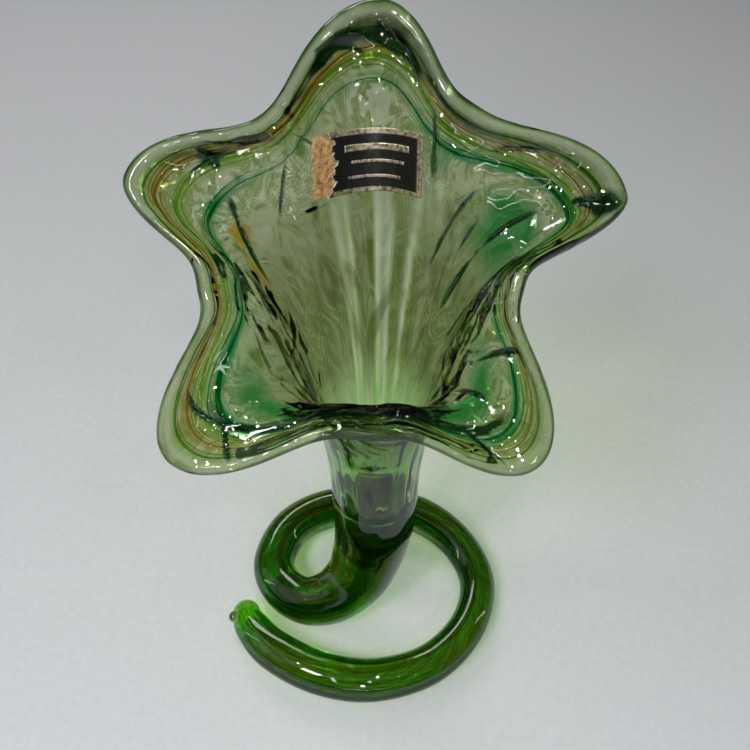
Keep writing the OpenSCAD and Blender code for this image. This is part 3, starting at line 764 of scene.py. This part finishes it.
def makeNub():
    end, turned = np.array([float(routeEnd)]), np.array([float(nub["turn"])])
    middle = tailPoint(end, turned, tailRadius(end, turned) - nub["sunk"])[0]
    bpy.ops.mesh.primitive_ico_sphere_add(subdivisions=5, radius=nub["size"] / 2 * mm)
    piece = bpy.context.object
    piece.name = piece.data.name = "shearNub"
    co = np.empty(len(piece.data.vertices) * 3)
    piece.data.vertices.foreach_get("co", co)
    out = unit(co.reshape(-1, 3))
    lumps = (np.sin(3.1 * out[:, 0] + 1) * np.sin(4.3 * out[:, 1]) + 0.5 * np.sin(7 * out[:, 2] + 3 * out[:, 0])
             + 0.3 * np.sin(13 * out[:, 1] + 5 * out[:, 2]))
    points = middle + out * (nub["size"] / 2 - nub["rough"] * 0.5 + nub["rough"] * 0.4 * lumps)[:, None]
    piece.data.vertices.foreach_set("co", (points * mm).ravel())
    bpy.ops.object.shade_smooth()
    material, tree, shader, output = newMaterial("shearedOliveGlass")  # a torn scar, waxy beside the gloss
    makeClear(tree, shader, output, glassLook["ior"], nub["lampTint"])
    setInputs(shader, {"Base Color": fromHex(nub["colour"]), "Roughness": 0.12})
    finishPiece(piece, material, "olive_glass", "shear_nub")


makeNub()
print("sheared tip")

# the gummed label on the back wall; rules: height above its middle, thickness, left and right end
label = dict(width=33, height=19, border=1.6, bend=30, left=1, lift=0.03, foil=0.3, print=0.15, paper=0.2,
             rules=[(4.2, 2, -7, 12.5), (0, 0.9, -5, 11), (-4.6, 0.9, -6, 10)])


def insideAt(a, t, off):  # the inner face of the even wall, and off it
    return bezier(profile(a), t) - (halfWall(t) + off)[:, None] * wallOut(a, t)


def labelPoint(right, above, off):  # a point of the label, by its distance right of and above its middle
    angle, at, level = np.full(1, 90.0), np.full(1, evenPatch["at"]), np.zeros_like(right)
    middle = insideAt(angle, at, 0)[0]
    slope = bezierSlope(profile(angle), at)[0]
    turnStep = 2 / np.linalg.norm(insideAt(angle - 1, at, 0) - insideAt(angle + 1, at, 0))
    riseStep = 1 / np.linalg.norm(slope)
    chord = label["bend"] * np.sin(right / label["bend"]) - label["left"]
    a, t = angle - right * turnStep, at + above * riseStep
    for _ in range(10):  # nearer each time to the point that lies that far along the wall
        gap = insideAt(a, t, level) - middle
        a = a + 0.8 * (gap[:, 0] - chord) * turnStep
        t = t + 0.8 * (above - gap @ unit(slope)) * riseStep
    return insideAt(a, t, level + off)


def tornEdge(above):  # ragged right edge of the bared paper, widest in the middle
    y = above / label["height"]
    return (-label["width"] / 2 + 6.6 - 7 * y ** 2 + 0.55 * np.sin(19 * y + 1) + 0.4 * np.sin(41 * y)
            + 0.22 * np.sin(97 * y + 2))


# a thin sheet that follows the wall; left and right give its edges at each height, low and high its layers
def makeSheet(name, across, up, bottom, top, left, right, low, high):
    def place(u, w):
        above = bottom + (top - bottom) * w
        lefts, rights = left(above), right(above)
        x = lefts + (rights - lefts) * u
        crinkle = 0.03 * np.sin(1.9 * x + 2.3 * np.sin(0.8 * above)) * np.sin(1.3 * above + 1)
        return labelPoint(x, above, label["lift"] + (low + high) / 2 + crinkle),

    piece = woundGrid(name, across, up, place)
    bpy.ops.object.modifier_add(type="SOLIDIFY")
    piece.modifiers[0].thickness = (high - low) * mm
    piece.modifiers[0].offset = 0
    bpy.ops.object.modifier_apply(modifier=piece.modifiers[0].name)
    closeUp(piece)
    return piece


# speckle and fibres are in millimetres, coarser than the real ones so that they show
sheetLook = dict(foil=("#6f6450", "#b8ac90", "#d6ccb2"), foilAged="#a88560", foilSpeckle=1.1,
                 ink="#0a0b0a", inkWorn="#4a463c", inkScuff=0.8,
                 paper=("#6b4a2c", "#a8804f", "#c49a68", "#d8b585"), paperFibre=1.6)


def makeLabelMaterials():
    foil, tree, shader, _ = newMaterial("embossedFoil")  # thin rolled foil: satin, coppery at the right edge
    place = addNode(tree, "TexCoord").outputs["Object"]
    sides = addNode(tree, "SeparateXYZ", {0: place})
    aged = addNode(tree, "MapRange", {"Value": sides.outputs["X"], "From Min": 0.012, "From Max": 0.0155})
    speckle = addNode(tree, "TexNoise", {"Vector": place, "Scale": 1000 / sheetLook["foilSpeckle"],
                                         "Detail": 4})
    tarnish = addNode(tree, "ValToRGB", {0: speckle})
    setStops(tarnish, list(zip((0.36, 0.5, 0.66), sheetLook["foil"])))
    colour = addNode(tree, "Mix", {"Factor": aged, 6: tarnish, 7: fromHex(sheetLook["foilAged"])},
                     data_type="RGBA")
    crinkle = addNode(tree, "Bump", {"Height": speckle, "Strength": 0.6, "Distance": 0.0002})
    setInputs(shader, {"Base Color": colour.outputs[2], "Metallic": 0.8, "Roughness": 0.38, "Normal": crinkle})

    ink, tree, shader, _ = newMaterial("blackLabelInk")  # printed solid: gloss black, scuffed in specks
    place = addNode(tree, "TexCoord").outputs["Object"]
    scuffs = addNode(tree, "TexNoise", {"Vector": place, "Scale": 1000 / sheetLook["inkScuff"], "Detail": 3})
    worn = addNode(tree, "ValToRGB", {0: scuffs})
    setStops(worn, [(0.66, sheetLook["ink"]), (0.72, sheetLook["inkWorn"])])
    setInputs(shader, {"Base Color": worn, "Roughness": 0.3})

    paper, tree, shader, _ = newMaterial("tornLabelPaper")  # paper torn open: fibrous, matt and mottled
    place = addNode(tree, "TexCoord").outputs["Object"]
    fibres = addNode(tree, "TexNoise", {"Vector": place, "Scale": 1000 / sheetLook["paperFibre"], "Detail": 5,
                                        "Roughness": 0.7})
    mottle = addNode(tree, "ValToRGB", {0: fibres})
    setStops(mottle, list(zip((0.34, 0.46, 0.56, 0.68), sheetLook["paper"])))
    setInputs(shader, {"Base Color": mottle, "Roughness": 0.85})
    return foil, ink, paper


foilMaterial, inkMaterial, paperMaterial = makeLabelMaterials()
halfWide, halfHigh = label["width"] / 2, label["height"] / 2
foilTop, inkTop = label["foil"], label["foil"] + label["print"]
foilPiece = makeSheet("labelFoil", 60, 60, -halfHigh, halfHigh, tornEdge, lambda y: halfWide + 0 * y, 0,
                      foilTop)
finishPiece(foilPiece, foilMaterial, "label_foil", "label_foil")
inkPiece = makeSheet("labelPrint", 60, 60, -halfHigh + label["border"], halfHigh - label["border"],
                     lambda y: tornEdge(y) + 0.3, lambda y: halfWide - label["border"] + 0 * y,
                     foilTop, inkTop)
finishPiece(inkPiece, inkMaterial, "label_print", "label_print")
ruleSheets = []
for above, thick, left, right in label["rules"]:
    ruleSheets.append(makeSheet("labelRules", 40, 4, above - thick / 2, above + thick / 2,
                                lambda y: left + 0 * y, lambda y: right + 0 * y, inkTop,
                                label["foil"] + 2 * label["print"]))
finishPiece(joinPieces("labelRules", ruleSheets), foilMaterial, "label_foil", "label_rules")
paperPiece = makeSheet("labelTornPaper", 24, 80, -halfHigh + 0.4, halfHigh - 0.4,
                       lambda y: -halfWide - 0.25 * np.sin(2.1 * y) - 0.15 * np.sin(5.3 * y), tornEdge, 0,
                       label["paper"])
finishPiece(paperPiece, paperMaterial, "label_paper", "label_torn_paper")
print("label")


# a pale floor that turns up into a wall all round, in metres; above the floor the wall fades to dark grey,
# painted shade that stands for a dim room
studio = dict(floorRadius=1.1, sweep=0.5, wallTop=0.85, card=("#d6d8db", "#dcdee0"), grain=3, wall="#2c2e30",
              fadeFrom=0.03, fadeTo=0.4, roomColour="#c9ccd2", roomStrength=0.1)


def addFloor():
    bpy.ops.mesh.primitive_circle_add(vertices=96, radius=studio["floorRadius"], fill_type="NGON",
                                      location=(0, 0, -0.0004))
    floor = bpy.context.object
    floor.name = "paleFloor"
    bpy.ops.object.mode_set(mode="EDIT")
    bpy.ops.mesh.select_mode(type="EDGE")
    bpy.ops.mesh.select_all(action="SELECT")
    bpy.ops.mesh.region_to_loop()
    reach, high = studio["floorRadius"], 0
    for b in np.linspace(0, 90, 13)[1:]:
        wider = studio["floorRadius"] + studio["sweep"] * sind(b)
        up = studio["sweep"] * (1 - cosd(b))
        bpy.ops.mesh.extrude_edges_move()
        bpy.ops.transform.resize(value=(wider / reach, wider / reach, 1))
        bpy.ops.transform.translate(value=(0, 0, up - high))
        reach, high = wider, up
    bpy.ops.mesh.extrude_edges_move()
    bpy.ops.transform.translate(value=(0, 0, studio["wallTop"] - high))
    bpy.ops.mesh.select_all(action="SELECT")
    bpy.ops.mesh.normals_make_consistent(inside=True)
    bpy.ops.object.mode_set(mode="OBJECT")
    bpy.ops.object.shade_smooth()
    material, tree, shader, _ = newMaterial("paleMattPaper")  # uncoated card: soft, even, with a faint grain
    place = addNode(tree, "TexCoord").outputs["Object"]
    grain = addNode(tree, "TexNoise", {"Vector": place, "Scale": 1000 / studio["grain"], "Detail": 2})
    card = addNode(tree, "ValToRGB", {0: grain})
    setStops(card, list(zip((0.3, 0.7), studio["card"])))
    height = addNode(tree, "SeparateXYZ", {0: place})
    # painted shade: the card darkens with height
    paintedRoomShade = addNode(tree, "MapRange", {"Value": height.outputs["Z"], "From Min": studio["fadeFrom"],
                                     "From Max": studio["fadeTo"]})
    fade = addNode(tree, "Mix", {"Factor": paintedRoomShade, 6: card, 7: fromHex(studio["wall"])}, data_type="RGBA")
    setInputs(shader, {"Base Color": fade.outputs[2], "Roughness": 0.9})
    floor.data.materials.append(material)


def addLamp(name, place, aim, size, power):
    bpy.ops.object.light_add(type="AREA", location=place)
    lamp = bpy.context.object
    lamp.name = name
    lamp.data.shape = "RECTANGLE"
    lamp.data.size, lamp.data.size_y = size
    lamp.data.energy = power
    lamp.rotation_euler = (Vector(aim) - Vector(place)).to_track_quat("-Z", "Y").to_euler()


# softboxes and strips: place, aim and size in metres, and watts
lamps = dict(
    keySoftbox=((-0.50, -0.60, 0.95), (0, 0, 0.1), (0.24, 0.24), 5.0),
    fillSoftbox=((-0.85, -0.1, 0.7), (0, 0, 0.1), (0.9, 0.9), 1.3),
    backSoftbox=((-0.25, 0.85, 0.8), (0, 0.1, 0.0), (0.6, 0.2), 2.4),
    lowFrontStrip=((0.0, -1.0, 0.22), (0, 0, 0.15), (0.5, 0.03), 0.4),
    leftStrip=((-0.95, 0.05, 0.45), (0, 0, 0.15), (0.03, 0.6), 0.4),
    rightStrip=((0.95, 0.1, 0.40), (0, 0, 0.15), (0.03, 0.6), 0.4),
)
glints = dict(size=0.014, power=0.24,  # small lamps that sparkle in the wet gloss
              places=[(0.05, -0.36, 0.50), (-0.14, -0.42, 0.40), (0.18, -0.28, 0.58), (-0.3, -0.15, 0.6),
                      (0.32, -0.4, 0.45), (0.0, -0.55, 0.36), (-0.22, -0.55, 0.7), (0.1, -0.2, 0.8)])
addFloor()
for name, lamp in lamps.items():
    addLamp(name, *lamp)
for i, place in enumerate(glints["places"]):
    addLamp(f"glintLamp{i}", place, (0, 0, 0.14), (glints["size"], glints["size"]), glints["power"])

world = bpy.data.worlds.new("studio")
scene.world = world
world.use_nodes = True
setInputs(world.node_tree.nodes["Background"], {"Color": fromHex(studio["roomColour"]),
                                                "Strength": studio["roomStrength"]})

scene.cycles.max_bounces = 40  # light passes many faces: both walls, the trails and the rods
scene.cycles.transmission_bounces = 40
scene.cycles.transparent_max_bounces = 40
scene.view_settings.view_transform = "Standard"

view = dict(place=(0, -0.199, 0.333), tilt=45, lens=41.76, sensor=36)  # metres, degrees, and millimetres
bpy.ops.object.camera_add(location=view["place"], rotation=(radians(view["tilt"]), 0, 0))
scene.camera = bpy.context.object
scene.camera.data.lens = view["lens"]
scene.camera.data.sensor_width = view["sensor"]
print("floor, lights and camera")
